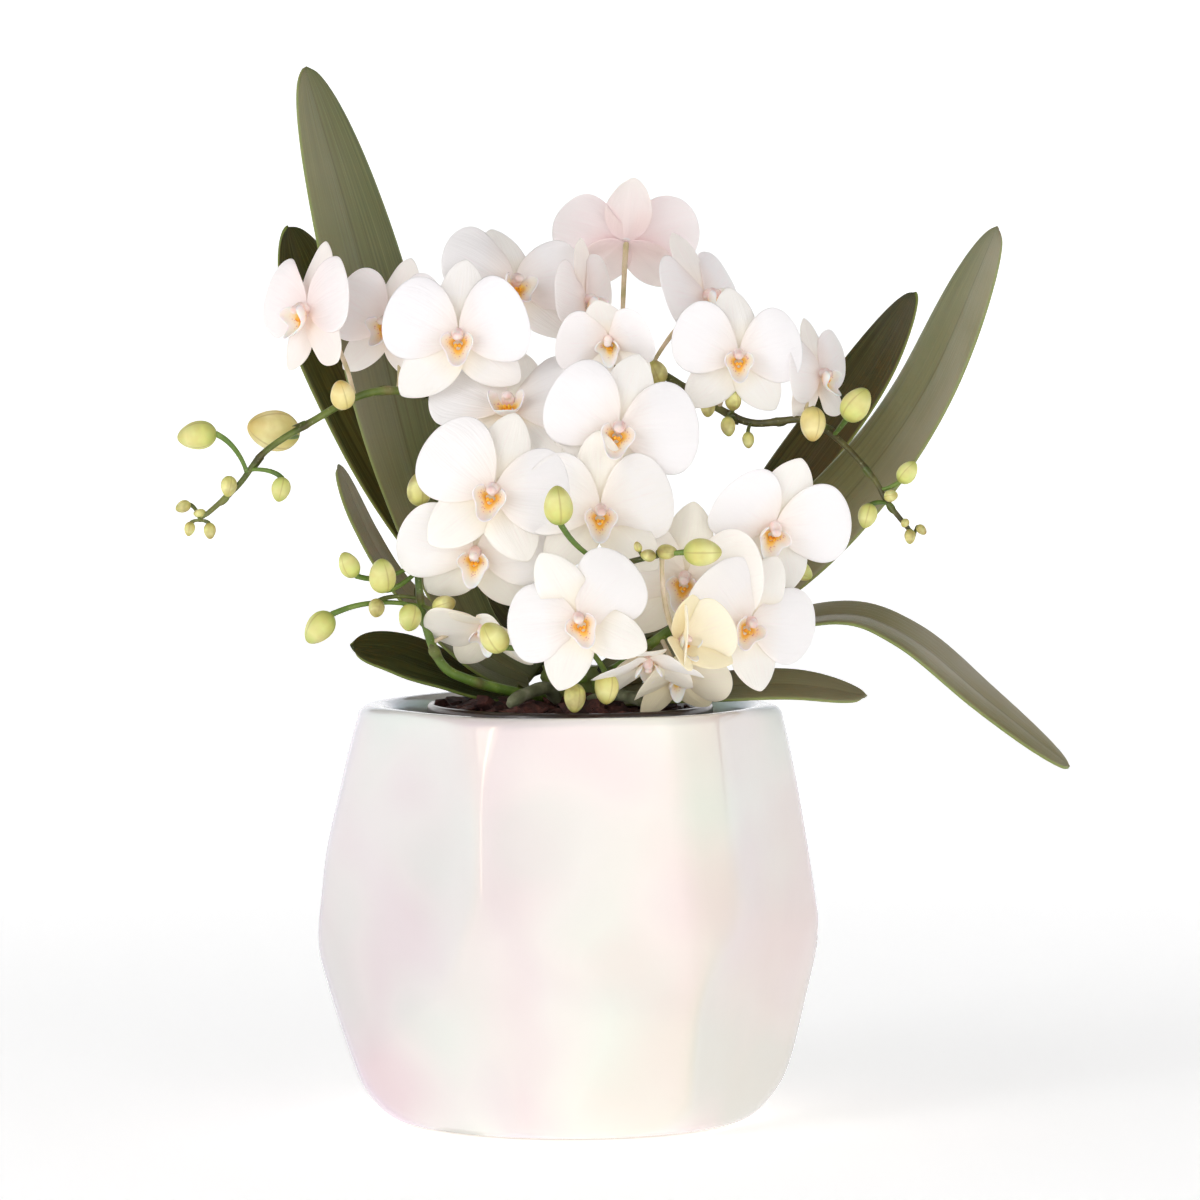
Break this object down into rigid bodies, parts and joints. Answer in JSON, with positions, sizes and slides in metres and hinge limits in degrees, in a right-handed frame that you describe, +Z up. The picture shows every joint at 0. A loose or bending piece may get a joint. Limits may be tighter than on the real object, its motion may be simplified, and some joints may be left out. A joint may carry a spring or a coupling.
{
  "type": "potted orchid",
  "caption": "Small-flowered white moth orchid with branching spikes of open flowers and buds, rooted in bark in a nursery pot that stands in a faceted glazed pot.",
  "frame": {"origin": "centre of the glazed pot's flat underside", "axes": "+Z up, -Y towards the front of the plant, +X to the right seen from the front"},
  "size_m": [0.2653, 0.142, 0.3162],
  "materials": {
    "glaze": "glossy pearl glaze",
    "nursery_plastic": "dark translucent",
    "bark": "rough chips",
    "leaf": "waxy satin",
    "root": "matte grey-green",
    "stem": "satin",
    "petal": "soft matte",
    "bud": "satin"
  },
  "bodies": {
    "root": {"pot": "glaze", "nursery_pot": "nursery_plastic", "bark": "bark", "crown": "leaf", "leaf_tall_left": "leaf", "leaf_back_left": "leaf", "leaf_mid_left": "leaf", "leaf_low_left": "leaf", "leaf_tall_right": "leaf", "leaf_back_right": "leaf", "leaf_arching_right": "leaf", "leaf_low_right": "leaf", "root_left": "root", "root_right": "root", "spike_upper_left": "stem", "spike_upper_right": "stem", "spike_centre": "stem", "spike_low_left": "stem", "spike_front": "stem", "spike_low_right": "stem", "flower_01": "petal", "flower_02": "petal", "flower_03": "petal", "flower_04": "petal", "flower_05": "petal", "flower_06": "petal", "flower_07": "petal", "flower_08": "petal", "flower_09": "petal", "flower_10": "petal", "flower_11": "petal", "flower_12": "petal", "flower_13": "petal", "flower_14": "petal", "flower_15": "petal", "flower_16": "petal", "flower_17": "petal", "flower_18": "petal", "flower_19": "petal", "flower_20": "petal", "flower_21": "petal", "flower_22": "petal", "flower_23": "petal", "bud_left_ripe": "bud", "bud_left_arched": "bud", "bud_left_opening": "bud", "bud_left_small": "bud", "bud_low_left_high": "bud", "bud_low_left_large": "bud", "bud_low_left_far": "bud", "bud_low_left_near": "bud", "bud_centre_upright": "bud", "bud_centre_level": "bud", "bud_front_left": "bud", "bud_front_low": "bud", "bud_right_behind": "bud", "bud_right_ripe": "bud", "bud_right_large": "bud", "bud_right_small": "bud", "bud_right_low": "bud"}
  },
  "joints": []
}
